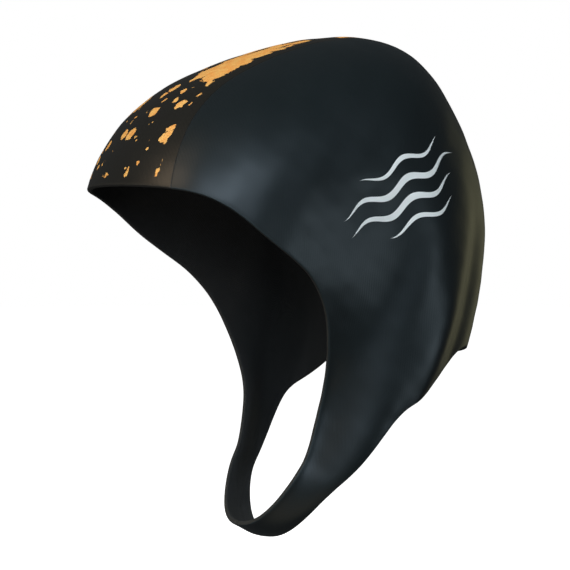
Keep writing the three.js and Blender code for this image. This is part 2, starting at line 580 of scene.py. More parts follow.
@dataclass
class Effects:
    """The shader node groups of the finishes, each built once.

    Lengths are in metres, and a scale is the number of features in a metre.
    """

    line_wander: float = 0.006
    line_wander_scale: float = 22.0
    line_fade_scale: tuple[float, float, float] = (140.0, 140.0, 30.0)
    grain_scale: float = 1500.0
    dimple_scale: float = 260.0
    dimple_depth: float = 0.00002
    tone_scale: float = 35.0
    tear: float = 0.0055
    tear_scale: float = 240.0
    spot_scatter: float = 0.9
    spot_loss: float = 0.06
    spot_reach: float = 0.6
    spot_blur: float = 0.035
    fine_scale: float = 120.0
    fine_share: float = 0.28
    patch_blur: float = 0.01
    stroke_blur: float = 0.00015
    loop_lean: float = 2.2
    loop_share: float = 0.3

    def __post_init__(self) -> None:
        """Builds each group once."""
        self.skin = self.build_skin()
        self.splatter = self.build_splatter()
        self.stroke = self.build_stroke()
        self.knit = self.build_knit()

    def build_skin(self) -> bpy.types.NodeTree:
        """Builds the relief of smooth-skin rubber: fine drawn lines, grain and shallow dimples.

        Returns:
            The group, with Height in metres and Tone from 0 to 1.
        """
        nodes, given, result = shader_group(
            "smooth_skin_relief",
            {"Place": None, "Line pitch": 0.0011, "Line depth": 0.000015, "Grain depth": 0.00001},
            ("Height", "Tone"),
        )
        place = given.outputs["Place"]
        wander = nodes.times(nodes.noise(place, self.line_wander_scale), self.line_wander)
        turns = nodes.turns(nodes.plus(nodes.parts(place)[1], wander), given.outputs["Line pitch"])
        strength = nodes.noise(nodes.vector("MULTIPLY", place, self.line_fade_scale), 1.0)
        lines = nodes.times(nodes.math("SINE", turns), strength)
        grain = nodes.noise(place, self.grain_scale, detail=3.0)
        dimples = nodes.noise(place, self.dimple_scale)
        height = nodes.plus(
            nodes.times(lines, given.outputs["Line depth"]),
            nodes.times(grain, given.outputs["Grain depth"]),
        )
        height = nodes.plus(height, nodes.times(dimples, self.dimple_depth))
        tone = nodes.noise(place, self.tone_scale, detail=3.0, distortion=0.4)
        nodes.feed(result.inputs["Height"], height)
        nodes.feed(result.inputs["Tone"], tone)
        return nodes.tree

    def build_splatter(self) -> bpy.types.NodeTree:
        """Builds the ink of a dabbed and splashed print.

        Returns:
            The group, with Spots and Patches from 0 to 1.
        """
        nodes, given, result = shader_group(
            "splatter_ink",
            {"Place": None, "Spot size": 0.006, "Patch size": 0.03, "Cover": 0.5},
            ("Spots", "Patches"),
        )
        place = given.outputs["Place"]
        shift = nodes.noise(place, self.tear_scale).node.outputs["Color"]
        bent = nodes.scaled(nodes.vector("SUBTRACT", shift, (0.5, 0.5, 0.5)), self.tear)
        torn = nodes.vector("ADD", place, bent)
        cells = nodes.cells(torn, nodes.over(1.0, given.outputs["Spot size"]))
        cells.inputs["Randomness"].default_value = self.spot_scatter
        chance = nodes.parts(cells.outputs["Color"])[0]
        reach = nodes.times(nodes.minus(chance, self.spot_loss), self.spot_reach)
        edge = nodes.minus(reach, cells.outputs["Distance"])
        patch_scale = nodes.over(1.0, given.outputs["Patch size"])
        coarse = nodes.noise(torn, patch_scale, detail=3.0, distortion=0.5)
        fine = nodes.noise(torn, self.fine_scale, detail=3.0, distortion=0.8)
        level = nodes.times(coarse, 1 - self.fine_share)
        level = nodes.plus(level, nodes.times(fine, self.fine_share))
        bare = nodes.minus(1.0, given.outputs["Cover"])
        patches = nodes.between(nodes.minus(level, bare), 0.0, self.patch_blur)
        nodes.feed(result.inputs["Spots"], nodes.between(edge, 0.0, self.spot_blur))
        nodes.feed(result.inputs["Patches"], patches)
        return nodes.tree

    def build_stroke(self) -> bpy.types.NodeTree:
        """Builds one wavy stroke that tapers to both ends.

        Returns:
            The group, with Ink from 0 to 1.
        """
        nodes, given, result = shader_group(
            "wave_stroke",
            {
                "Place": None,
                "Middle": 0.0,
                "Offset": 0.0,
                "Half length": 0.02,
                "Half width": 0.0014,
                "Wavelength": 0.024,
                "Rise": 0.002,
                "Phase": 0.0,
            },
            ("Ink",),
        )
        u, v, _ = nodes.parts(given.outputs["Place"])
        share = nodes.over(nodes.minus(u, given.outputs["Middle"]), given.outputs["Half length"])
        taper = nodes.minus(1.0, nodes.times(share, share))
        turns = nodes.plus(nodes.turns(u, given.outputs["Wavelength"]), given.outputs["Phase"])
        wave = nodes.times(nodes.math("SINE", turns), given.outputs["Rise"])
        away = nodes.math("ABSOLUTE", nodes.minus(v, nodes.plus(given.outputs["Offset"], wave)))
        inside = nodes.minus(nodes.times(taper, given.outputs["Half width"]), away)
        nodes.feed(result.inputs["Ink"], nodes.between(inside, 0.0, self.stroke_blur))
        return nodes.tree

    def build_knit(self) -> bpy.types.NodeTree:
        """Builds the relief of fine jersey, in rows of small loops.

        Returns:
            The group, with Height from 0 to 1.3.
        """
        nodes, given, result = shader_group(
            "jersey_knit",
            {"Place": None, "Wale pitch": 0.0009, "Course pitch": 0.0007},
            ("Height",),
        )
        u, v, _ = nodes.parts(given.outputs["Place"])
        half_turns = nodes.times(nodes.turns(u, given.outputs["Wale pitch"]), 0.5)
        lean = nodes.math("ABSOLUTE", nodes.math("SINE", half_turns))
        course = nodes.turns(v, given.outputs["Course pitch"])
        loop = nodes.math("SINE", nodes.plus(course, nodes.times(lean, self.loop_lean)))
        ridge = nodes.times(loop, self.loop_share)
        ridge = nodes.plus(ridge, nodes.times(lean, 1 - self.loop_share))
        nodes.feed(result.inputs["Height"], nodes.plus(ridge, self.loop_share))
        return nodes.tree


@dataclass(frozen=True)
class Finish:
    """What every finish has: a name, a colour, a roughness and the depth of its relief."""

    name: str
    colour: Rgb
    roughness: float
    depth: float = 1.0

    def start(self) -> tuple[bpy.types.Material, Nodes, bpy.types.Node]:
        """Makes a material without an output.

        Returns:
            The material, its nodes and its Principled shader.
        """
        material = bpy.data.materials.new(self.name)
        material.use_nodes = True
        material.node_tree.nodes.clear()
        nodes = Nodes(material.node_tree)
        return material, nodes, nodes.add("ShaderNodeBsdfPrincipled")

    def shade(self, part: float) -> tuple[float, float, float, float]:
        """Returns the colour, lighter or darker by a factor."""
        return (*(min(1.0, c * part) for c in self.colour), 1.0)

    def surface(self, nodes: Nodes, effects: Effects) -> Surface:
        """Adds the nodes of the surface.

        Args:
            nodes: The material's nodes.
            effects: The shared groups.

        Returns:
            The colour, the roughness and the height, in metres where the depth is one.
        """
        raise NotImplementedError

    def build(self, effects: Effects) -> bpy.types.Material:
        """Builds the material.

        Args:
            effects: The shared groups.

        Returns:
            The material.
        """
        material, nodes, shader = self.start()
        colour, roughness, height = self.surface(nodes, effects)
        relief = {"Strength": 1.0, "Distance": self.depth, "Height": height}
        bump = nodes.add("ShaderNodeBump", relief)
        for name, source in (("Base Color", colour), ("Roughness", roughness), ("Normal", bump)):
            nodes.feed(shader.inputs[name], source)
        nodes.add("ShaderNodeOutputMaterial", {"Surface": shader})
        return material


@dataclass(frozen=True)
class SmoothSkin(Finish):
    """Bare smooth-skin rubber, satin, with fine drawn lines, and a painted highlight and more
    roughness along the face and neck edges.
    """

    line_pitch: float = 0.0011
    line_depth: float = 0.000012
    grain_depth: float = 0.000005
    colour_spread: float = 0.1
    roughness_spread: float = 0.1
    edge_highlight_reach: float = 0.0016
    edge_highlight_share: float = 0.55
    edge_highlight_shade: float = 2.6
    edge_roughness: float = 0.12

    def surface(self, nodes: Nodes, effects: Effects) -> Surface:
        """Adds the rubber, and a painted highlight and more roughness along its face and neck
        edges.

        Args:
            nodes: The material's nodes.
            effects: The shared groups.

        Returns:
            The colour, the roughness and the height.
        """
        skin = nodes.group(
            effects.skin,
            Place=nodes.object_place(),
            Line_pitch=self.line_pitch,
            Line_depth=self.line_depth,
            Grain_depth=self.grain_depth,
        )
        # Painted highlight: the colour turns lighter near the face and neck edges, and the
        # roughness rises there too.
        near_edge = nodes.minus(1.0, nodes.between(nodes.fact("from_edge"), 0.0, self.edge_highlight_reach))
        tone = skin.outputs["Tone"]
        dark, light = self.shade(1 - self.colour_spread), self.shade(1 + self.colour_spread)
        colour = nodes.mix(tone, dark, light)
        colour = nodes.mix(nodes.times(near_edge, self.edge_highlight_share), colour, self.shade(self.edge_highlight_shade))
        least = self.roughness - self.roughness_spread / 2
        roughness = nodes.plus(least, nodes.times(tone, self.roughness_spread))
        roughness = nodes.plus(roughness, nodes.times(near_edge, self.edge_roughness))
        return colour, roughness, skin.outputs["Height"]


@dataclass(frozen=True)
class InkedSkin(SmoothSkin):
    """Smooth skin with a film of ink on some of it."""

    ink: Rgb = (1.0, 1.0, 1.0)
    ink_roughness: float = 0.08
    ink_film: float = 0.00004

    def mask(self, nodes: Nodes, effects: Effects) -> Source:
        """Returns 1 under ink and 0 elsewhere."""
        raise NotImplementedError

    def tint(self, nodes: Nodes) -> Source:
        """Returns the ink's colour."""
        return (*self.ink, 1.0)

    def surface(self, nodes: Nodes, effects: Effects) -> Surface:
        """Adds the rubber and the ink on it.

        Args:
            nodes: The material's nodes.
            effects: The shared groups.

        Returns:
            The colour, the roughness and the height.
        """
        colour, roughness, height = super().surface(nodes, effects)
        ink = self.mask(nodes, effects)
        return (
            nodes.mix(ink, colour, self.tint(nodes)),
            nodes.plus(roughness, nodes.times(ink, self.ink_roughness)),
            nodes.plus(height, nodes.times(ink, self.ink_film)),
        )


@dataclass(frozen=True)
class WaveStroke:
    """One stroke of the plain wave mark, in metres on the mark's own axes."""

    middle: float
    offset: float
    half_length: float
    half_width: float
    phase: float


@dataclass(frozen=True)
class WaveMarkSkin(InkedSkin):
    """Smooth skin with a few plain white wave strokes on the side."""

    ink: Rgb = (0.93, 0.93, 0.92)
    back: float = -0.006
    up: float = -0.074
    tilt: float = 27.0
    strokes: tuple[WaveStroke, ...] = (
        WaveStroke(0.004, 0.0135, 0.024, 0.0012, 0.5),
        WaveStroke(0.0, 0.0045, 0.034, 0.0017, 0.9),
        WaveStroke(-0.003, -0.0045, 0.03, 0.0017, 1.3),
        WaveStroke(0.003, -0.0135, 0.019, 0.0012, 1.7),
    )

    def mask(self, nodes: Nodes, effects: Effects) -> Source:
        """Adds the strokes.

        Args:
            nodes: The material's nodes.
            effects: The shared groups.

        Returns:
            1 on a stroke and 0 elsewhere.
        """
        _, y, z = nodes.parts(nodes.object_place())
        y, z = nodes.minus(y, self.back), nodes.minus(z, self.up)
        c, s = math.cos(math.radians(self.tilt)), math.sin(math.radians(self.tilt))
        mark = nodes.joined(
            nodes.plus(nodes.times(y, c), nodes.times(z, s)),
            nodes.minus(nodes.times(z, c), nodes.times(y, s)),
        )
        ink: Source = 0.0
        for stroke in self.strokes:
            drawn = nodes.group(
                effects.stroke,
                Place=mark,
                Middle=stroke.middle,
                Offset=stroke.offset,
                Half_length=stroke.half_length,
                Half_width=stroke.half_width,
                Phase=stroke.phase,
            )
            ink = nodes.math("MAXIMUM", ink, drawn.outputs["Ink"])
        return ink


@dataclass(frozen=True)
class PrintedSkin(InkedSkin):
    """Smooth skin with a splashed print: loose spots in front, torn patches over the crown.

    Places along the band are in metres from the forehead edge.
    """

    ink: Rgb = (0.93, 0.36, 0.07)
    pale_ink: Rgb = (0.95, 0.48, 0.12)
    ink_roughness: float = 0.06
    ink_film: float = 0.00003
    tint_scale: float = 240.0
    tint_from: float = 0.3
    tint_to: float = 0.7
    spot_size: float = 0.0075
    spots_end: float = 0.055
    spots_fade: float = 0.004
    patch_size: float = 0.027
    patch_stretch: float = 0.55
    patches_start: float = 0.03
    patches_full: float = 0.078
    first_cover: float = 0.3
    cover: float = 0.54
    wander: float = 0.05
    wander_scale: float = 45.0
    seam_margin: float = 0.014
    margin_share: float = 1.1
    margin_scale: float = 130.0
    margin_from: float = 0.09
    margin_to: float = 0.2
    margin_blur: float = 0.0006
    bare_edge: float = 0.0015
    edge_tear: float = 0.006
    edge_scale: float = 210.0
    edge_blur: float = 0.0004

    def tint(self, nodes: Nodes) -> Source:
        """Adds the ink's colour, paler where it lies thin.

        Args:
            nodes: The material's nodes.

        Returns:
            The colour.
        """
        thin = nodes.noise(nodes.cut_place(), self.tint_scale, detail=3.0, distortion=0.3)
        pale = nodes.between(thin, self.tint_from, self.tint_to)
        return nodes.mix(pale, (*self.ink, 1.0), (*self.pale_ink, 1.0))

    def mask(self, nodes: Nodes, effects: Effects) -> Source:
        """Adds the spots and the patches.

        Args:
            nodes: The material's nodes.
            effects: The shared groups.

        Returns:
            1 on a spot or a patch and 0 elsewhere.
        """
        cut = nodes.cut_place()
        back = nodes.parts(cut)[1]
        wander = nodes.times(nodes.minus(nodes.noise(cut, self.wander_scale), 0.5), self.wander)
        reached = nodes.plus(back, wander)
        grown = nodes.between(reached, self.patches_start, self.patches_full)
        cover = nodes.plus(self.first_cover, nodes.times(grown, self.cover - self.first_cover))
        sizes = {"Spot_size": self.spot_size, "Patch_size": self.patch_size}
        splash = nodes.group(effects.splatter, Place=cut, Cover=self.cover, **sizes)
        stretched = nodes.vector("MULTIPLY", cut, (1.0, self.patch_stretch, 1.0))
        brushed = nodes.group(effects.splatter, Place=stretched, Cover=cover, **sizes)
        behind = nodes.between(reached, self.spots_end, self.spots_end + self.spots_fade)
        spots = nodes.times(splash.outputs["Spots"], nodes.minus(1.0, behind))
        ink = nodes.math("MAXIMUM", spots, brushed.outputs["Patches"])

        ragged = nodes.noise(cut, self.margin_scale, detail=3.0, distortion=0.6)
        narrowed = nodes.between(back, self.margin_from, self.margin_to)
        narrowing = nodes.minus(self.margin_share, narrowed)
        margin = nodes.times(nodes.times(ragged, self.seam_margin), narrowing)
        inside = nodes.between(nodes.minus(nodes.fact("from_seam"), margin), 0.0, self.margin_blur)

        tear = nodes.times(nodes.noise(cut, self.edge_scale), self.edge_tear)
        in_from_edge = nodes.minus(nodes.fact("from_edge"), tear)
        within = nodes.between(in_from_edge, self.bare_edge, self.bare_edge + self.edge_blur)
        return nodes.times(nodes.times(ink, inside), within)


@dataclass(frozen=True)
class CutFoam(Finish):
    """The cut edge of the rubber, where its closed cells show."""

    depth: float = 0.00008
    cell: float = 0.00035
    cell_painted_shade_spread: float = 0.3
    cell_roughness: float = 0.1
    patch_scale: float = 90.0
    patch_share: float = 0.5
    patch_shade: float = 0.55

    def surface(self, nodes: Nodes, effects: Effects) -> Surface:
        """Adds the cells, with painted shade in their hollows and lighter walls, and darker patches
        over them.

        Args:
            nodes: The material's nodes.
            effects: The shared groups.

        Returns:
            The colour, the roughness and the height.
        """
        place = nodes.object_place()
        cells = nodes.cells(place, 1.0 / self.cell).outputs["Distance"]
        patchy = nodes.times(nodes.noise(place, self.patch_scale, detail=3.0), self.patch_share)
        # Painted shade: each cell is darker in its hollow and lighter towards its walls, following
        # the cell height.
        dark, light = self.shade(1 - self.cell_painted_shade_spread), self.shade(1 + self.cell_painted_shade_spread)
        colour = nodes.mix(patchy, nodes.mix(cells, dark, light), self.shade(self.patch_shade))
        roughness = nodes.plus(self.roughness, nodes.times(cells, self.cell_roughness))
        return colour, roughness, cells


@dataclass(frozen=True)
class Jersey(Finish):
    """The flat black knitted inside."""

    depth: float = 0.00012
    wale: float = 0.0009
    course: float = 0.0007
    groove_painted_shade: float = 0.7
    ridge_painted_highlight: float = 1.35
    fuzz_scale: float = 900.0
    fuzz_share: float = 0.4
    fuzz_shade: float = 1.6
    fuzz_roughness: float = 0.1

    def surface(self, nodes: Nodes, effects: Effects) -> Surface:
        """Adds the loops, with painted shade in their grooves and lighter ridges, and fuzz over
        them.

        Args:
            nodes: The material's nodes.
            effects: The shared groups.

        Returns:
            The colour, the roughness and the height.
        """
        cut = nodes.cut_place()
        knit = nodes.group(effects.knit, Place=cut, Wale_pitch=self.wale, Course_pitch=self.course)
        height = knit.outputs["Height"]
        fuzz = nodes.noise(cut, self.fuzz_scale)
        # Painted shade: the knit's grooves are darker and its ridges lighter, following the height
        # of the loops.
        colour = nodes.mix(height, self.shade(self.groove_painted_shade), self.shade(self.ridge_painted_highlight))
        colour = nodes.mix(nodes.times(fuzz, self.fuzz_share), colour, self.shade(self.fuzz_shade))
        least = self.roughness - self.fuzz_roughness / 2
        return colour, nodes.plus(least, nodes.times(fuzz, self.fuzz_roughness)), height


@dataclass(frozen=True)
class Thread(Finish):
    """Twisted black sewing thread."""

    depth: float = 0.00008
    twist: float = 0.0005
    groove_painted_shade: float = 0.6
    strand_painted_highlight: float = 1.5
    strand_roughness: float = 0.15

    def surface(self, nodes: Nodes, effects: Effects) -> Surface:
        """Adds the strands, with painted shade in the grooves between them and lighter tops.

        Args:
            nodes: The material's nodes.
            effects: The shared groups.

        Returns:
            The colour, the roughness and the height.
        """
        strands = nodes.noise(nodes.object_place(), 1.0 / self.twist, distortion=1.0)
        # Painted shade: the thread is darker where the strands lie low and lighter where they stand
        # high.
        colour = nodes.mix(strands, self.shade(self.groove_painted_shade), self.shade(self.strand_painted_highlight))
        roughness = nodes.plus(self.roughness, nodes.times(strands, self.strand_roughness))
        return colour, roughness, strands


@dataclass
class Panel:
    """One panel of rubber between two ribs, as a closed sheet with rounded cut edges."""

    name: str
    node: str
    slot: str
    form: HoodForm
    skin: str
    from_rib: float
    to_rib: float
    rows: int
    columns: int
    flat: tuple[float, float]
    edge_round: float = 0.0006
    seam_round: float = 0.00022
    half_gap: float = 0.000005
    round_steps: int = 4
    cut_steps: int = 3
    samples: int = 301
    piece: bpy.types.Object | None = field(default=None, init=False)
    area: float = field(default=0.0, init=False)

    @property
    def sign(self) -> float:
        """One where the rib number grows from the first edge to the last, else minus one."""
        return 1.0 if self.to_rib > self.from_rib else -1.0

    def places(self) -> tuple[Array, Array, Array]:
        """Spreads the mesh over the panel, evenly across each rib.

        Returns:
            Rib and share across of each vertex, and the length from the face edge in metres.
        """
        rib = np.linspace(self.from_rib, self.to_rib, self.rows + 1)
        fine = np.linspace(0, 1, self.samples)
        run = run_along(self.form.skin_point(rib[:, None], fine[None, :]), axis=1)
        across = np.zeros((self.rows + 1, self.columns + 1))
        lengths = np.zeros_like(across)
        for k in range(len(rib)):
            last = run[k, -1] - self.edge_round
            lengths[k] = np.linspace(self.edge_round, last, self.columns + 1)
            across[k] = np.interp(lengths[k], run[k], fine)
        return np.repeat(rib[:, None], self.columns + 1, axis=1), across, lengths

    def perimeter(self) -> list[tuple[int, int]]:
        """Lists the mesh places round the edge, in order.

        Returns:
            The row and the column of each place.
        """
        m, n = self.columns, self.rows
        return (
            [(0, j) for j in range(m)]
            + [(i, m) for i in range(n)]
            + [(n, j) for j in range(m, 0, -1)]
            + [(i, 0) for i in range(n, 0, -1)]
        )

    def rim(self, rib: Array, across: Array) -> list[Array]:
        """Rounds the edge from the outer face to the inner one.

        Args:
            rib: Rib of each mesh place.
            across: Share across of each mesh place.

        Returns:
            The loops of points, the first on the outer face and the last on the inner one.
        """
        i, j = np.array(self.perimeter()).T
        r, t = rib[i, j], across[i, j]
        first, last = i == 0, i == self.rows
        face, neck = j == 0, j == self.columns
        t[face], t[neck] = 0.0, 1.0
        down, _ = self.form.slopes(self.form.skin_point, r, t)
        pull = self.half_gap / np.linalg.norm(down, axis=-1)
        r = r + self.sign * pull * (first.astype(float) - last)
        down, back = self.form.slopes(self.form.skin_point, r, t)
        out = unit(np.cross(down, back))
        point = self.form.skin_point(r, t)
        beyond = unit(back) * (neck.astype(float) - face)[:, None]
        beside = unit(down) * (self.sign * (last.astype(float) - first))[:, None]
        inset = beyond * self.edge_round + beside * self.seam_round
        depth = np.where(first | last, self.seam_round, self.edge_round)[:, None]
        wall = self.form.wall
        angles = np.linspace(0, math.pi / 2, self.round_steps + 1)
        turns = [(math.sin(a), math.cos(a)) for a in angles]
        outer = [point - inset * (1 - s) - out * depth * (1 - c) for s, c in turns]
        inner = [point - inset * (1 - c) - out * (wall - depth * (1 - s)) for s, c in turns]
        return outer + inner

    def rim_kind(self, step: int) -> Face:
        """Tells the kind of surface between two loops of the rim.

        Args:
            step: Number of the later loop.

        Returns:
            The kind of surface.
        """
        if step < self.round_steps:
            return Face.SKIN
        return Face.CUT if step < self.round_steps + self.cut_steps else Face.LINING

    def facts(self, outer: Array, lengths: Array) -> dict[str, Array]:
        """Measures the sheet at each mesh place.

        Args:
            outer: Points of the outer face.
            lengths: Length from the face edge.

        Returns:
            Lengths in metres at each vertex of the outer face and then of the inner one.
        """
        lateral = run_along(outer)
        total = lateral[-1:, :]
        seam = lateral
        if self.from_rib * self.to_rib < 0:
            seam = np.minimum(lateral, total - lateral)
            lateral = lateral - total / 2
        edge = np.minimum(lengths, lengths[:, -1:] + self.edge_round - lengths)
        found = {"lateral": lateral, "lengths": lengths, "from_seam": seam, "from_edge": edge}
        return {name: np.tile(values.ravel(), 2) for name, values in found.items()}

    def build(self, finishes: dict[Face, bpy.types.Material]) -> bpy.types.Object:
        """Builds the panel's mesh and dresses it.

        Args:
            finishes: The material of each kind of face.

        Returns:
            The finished piece.
        """
        rib, across, lengths = self.places()
        outer = self.form.skin_point(rib, across)
        inner = outer - self.form.outward(rib, across) * self.form.wall
        loops = self.rim(rib, across)
        rows, columns = np.array(self.perimeter()).T
        outer[rows, columns], inner[rows, columns] = loops[0], loops[-1]
        facts = self.facts(outer, lengths)

        grid = np.arange(rib.size).reshape(rib.shape)
        points = [outer.reshape(-1, 3), inner.reshape(-1, 3)]
        corners = grid[:-1, :-1], grid[:-1, 1:], grid[1:, 1:], grid[1:, :-1]
        skin = np.stack([c.ravel() for c in corners], axis=1)
        faces = [skin, skin[:, ::-1] + grid.size]
        kinds = [np.full(len(skin), kind.value) for kind in (Face.SKIN, Face.LINING)]
        ring = grid[rows, columns]
        below, start = ring, 2 * grid.size
        for k, loop in enumerate(loops[1:], start=1):
            above = ring + grid.size
            if k < len(loops) - 1:
                above = np.arange(start, start + len(ring))
                start += len(ring)
                points.append(loop)
                facts = {name: np.concatenate([v, v[ring]]) for name, v in facts.items()}
            faces.append(np.stack([np.roll(below, -1), below, above, np.roll(above, -1)], axis=1))
            kinds.append(np.full(len(ring), self.rim_kind(k).value))
            below = above
        self.piece = self.mesh(*(np.concatenate(part) for part in (points, faces, kinds)), facts)
        for kind in Face:
            self.piece.data.materials.append(finishes[kind])
        self.area = self.outer_area(outer)
        self.declare()
        return self.piece

    def outer_area(self, outer: Array) -> float:
        """Measures the outer face.

        Args:
            outer: Points of the outer face.

        Returns:
            The area in square metres.
        """
        one = np.cross(outer[1:, :-1] - outer[:-1, :-1], outer[:-1, 1:] - outer[:-1, :-1])
        two = np.cross(outer[:-1, 1:] - outer[1:, 1:], outer[1:, :-1] - outer[1:, 1:])
        return float((np.linalg.norm(one, axis=-1) + np.linalg.norm(two, axis=-1)).sum() / 2)

    def mesh(
        self, points: Array, faces: Array, kinds: Array, facts: dict[str, Array]
    ) -> bpy.types.Object:
        """Makes the closed mesh, with its faces outwards.

        Args:
            points: All vertices.
            faces: Four vertices of each face.
            kinds: The material slot of each face.
            facts: Lengths at each vertex, in metres.

        Returns:
            The object.
        """
        a, b, c, d = (points[faces[:, k]] for k in range(4))
        volume = (np.cross(b - a, c - a) * a).sum() + (np.cross(c - a, d - a) * a).sum()
        if volume < 0:
            faces = faces[:, ::-1]
        mesh = bpy.data.meshes.new(self.name)
        mesh.from_pydata(points.tolist(), [], faces.tolist())
        mesh.polygons.foreach_set("material_index", kinds.astype(np.int32))
        mesh.polygons.foreach_set("use_smooth", np.ones(len(faces), bool))
        corners = np.zeros(len(mesh.loops), np.int32)
        mesh.loops.foreach_get("vertex_index", corners)
        cut = np.stack([facts["lateral"] / UV_METRES + 0.5, facts["lengths"] / UV_METRES], axis=1)
        layer = mesh.uv_layers.new(name="cut")
        layer.uv.foreach_set("vector", cut[corners].astype(np.float32).ravel())
        for name in ("from_edge", "from_seam"):
            keep(mesh, name, facts[name])
        mesh.update()
        return put(self.name, mesh)

    def declare(self) -> None:
        """Hangs the piece on the root and hides the CAD part of the node that it stands for."""
        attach(self.piece, "root")
        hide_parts(self.node)


@dataclass
class SeamStitches:
    """Zigzag thread on the inside of the glued seams, laid by Geometry Nodes."""

    form: HoodForm
    seam_rib: float = 1.0
    pitch: float = 0.0024
    reach: float = 0.0034
    thread: float = 0.00021
    bedding: float = 0.6
    lift: float = 0.0003
    rise: float = 2.0
    sink: float = 1.5
    lean: float = 38.0
    facets: int = 6
    end_margin: float = 0.004
    samples: int = 900

    def line(self, rib: Array, across: Array) -> tuple[Array, Array, Array]:
        """Finds evenly spaced places along a seam, on the inside.

        Args:
            rib: Rib of each sample.
            across: Share across of each sample.

        Returns:
            The places, the way the seam runs there, and the way into the hood.
        """
        out = self.form.outward(rib, across)
        deep = self.form.wall + self.thread * self.bedding
        inner = self.form.skin_point(rib, across) - out * deep
        run = run_along(inner)
        count = int((run[-1] - 2 * self.end_margin) / self.pitch)
        want = np.linspace(self.end_margin, run[-1] - self.end_margin, count + 1)
        place, inward = (
            np.stack([np.interp(want, run, values[:, k]) for k in range(3)], axis=-1)
            for values in (inner, -out)
        )
        return place, unit(np.gradient(place, axis=0)), unit(inward)

    def path(self) -> bpy.types.Object:
        """Makes the points that the stitches stand on, with their directions.

        Returns:
            An object of loose vertices with the attributes along and inward.
        """
        across = np.linspace(0, 1, self.samples)
        ribs = (self.seam_rib, -self.seam_rib, float(self.form.chin_rib))
        lines = [self.line(np.full(self.samples, rib), across) for rib in ribs]
        place, along, inward = (np.concatenate([line[k] for line in lines]) for k in range(3))
        mesh = bpy.data.meshes.new("seam_path")
        mesh.from_pydata(place.tolist(), [], [])
        keep(mesh, "along", along)
        keep(mesh, "inward", inward)
        return put("seam_stitches", mesh)

    def tree(self, material: bpy.types.Material) -> bpy.types.NodeTree:
        """Builds the tree that lays one stitch on each point, leaning left and right in turn.

        Args:
            material: The thread's finish.

        Returns:
            The Geometry Nodes tree.
        """
        tree = bpy.data.node_groups.new("zigzag_stitches", "GeometryNodeTree")
        face = tree.interface
        face.new_socket(name="Geometry", in_out="INPUT", socket_type=Kind.GEOMETRY.value)
        for name, value in (
            ("Stitch length", self.reach),
            ("Thread radius", self.thread),
            ("Lift", self.lift),
            ("Lean", math.radians(self.lean)),
        ):
            socket = face.new_socket(name=name, in_out="INPUT", socket_type=Kind.NUMBER.value)
            socket.default_value = value
        face.new_socket(name="Geometry", in_out="OUTPUT", socket_type=Kind.GEOMETRY.value)
        nodes = Nodes(tree)
        given, result = nodes.add("NodeGroupInput"), nodes.add("NodeGroupOutput")
        half = nodes.times(given.outputs["Stitch length"], 0.5)
        sunk = nodes.times(given.outputs["Lift"], -self.sink)
        top = nodes.times(given.outputs["Lift"], self.rise)
        arc = nodes.add(
            "GeometryNodeCurveQuadraticBezier",
            {
                "Resolution": self.facets,
                "Start": nodes.joined(nodes.times(half, -1.0), 0.0, sunk),
                "Middle": nodes.joined(0.0, 0.0, top),
                "End": nodes.joined(half, 0.0, sunk),
            },
        )
        ring = nodes.add(
            "GeometryNodeCurvePrimitiveCircle",
            {"Resolution": self.facets, "Radius": given.outputs["Thread radius"]},
        )
        parts = {"Curve": arc, "Profile Curve": ring, "Fill Caps": True}
        tube = nodes.add("GeometryNodeCurveToMesh", parts)
        turn = "FunctionNodeAlignRotationToVector"
        turn_up = nodes.add(turn, {"Vector": self.named(nodes, "inward")}, axis="Z")
        run = {"Rotation": turn_up, "Vector": self.named(nodes, "along")}
        turn_on = nodes.add(turn, run, axis="X", pivot_axis="Z")
        odd = nodes.math("MODULO", nodes.add("GeometryNodeInputIndex"), 2.0)
        swing = nodes.times(nodes.minus(nodes.times(odd, 2.0), 1.0), given.outputs["Lean"])
        swung = {"Rotation": turn_on, "Rotate By": nodes.joined(0.0, 0.0, swing)}
        leaning = nodes.add("FunctionNodeRotateRotation", swung, rotation_space="LOCAL")
        dots = nodes.add("GeometryNodeMeshToPoints", {"Mesh": given})
        standing = {"Points": dots, "Instance": tube, "Rotation": leaning}
        stand = nodes.add("GeometryNodeInstanceOnPoints", standing)
        real = nodes.add("GeometryNodeRealizeInstances", {0: stand})
        dressed = nodes.add("GeometryNodeSetMaterial", {0: real, "Material": material})
        nodes.feed(result.inputs[0], dressed)
        return tree

    def named(self, nodes: Nodes, name: str) -> Socket:
        """Reads a vector attribute in a Geometry Nodes tree.

        Args:
            nodes: The tree's nodes.
            name: The attribute's name.

        Returns:
            The vector's socket.
        """
        node = nodes.add("GeometryNodeInputNamedAttribute", data_type="FLOAT_VECTOR")
        node.inputs["Name"].default_value = name
        return node.outputs[0]

    def build(self, material: bpy.types.Material) -> bpy.types.Object:
        """Lays the stitches and makes them a plain mesh.

        Args:
            material: The thread's finish.

        Returns:
            The finished piece.
        """
        piece = self.path()
        modifier = piece.modifiers.new("stitches", "NODES")
        modifier.node_group = self.tree(material)
        bpy.context.view_layer.update()
        graph = bpy.context.evaluated_depsgraph_get()
        made = bpy.data.meshes.new_from_object(piece.evaluated_get(graph), depsgraph=graph)
        piece.modifiers.remove(modifier)
        piece.data = made
        for name in ("along", "inward"):
            if name in made.attributes:
                made.attributes.remove(made.attributes[name])
        made.polygons.foreach_set("use_smooth", np.ones(len(made.polygons), bool))
        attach(piece, "root")
        return piece


@dataclass(frozen=True)
class SoftLight:
    """A soft box that shines at the hood from an azimuth and elevation."""

    name: str
    azimuth: float
    elevation: float
    distance: float
    wide: float
    high: float
    watts: float
    colour: Rgb
    glossy: bool = True
    diffuse: bool = True


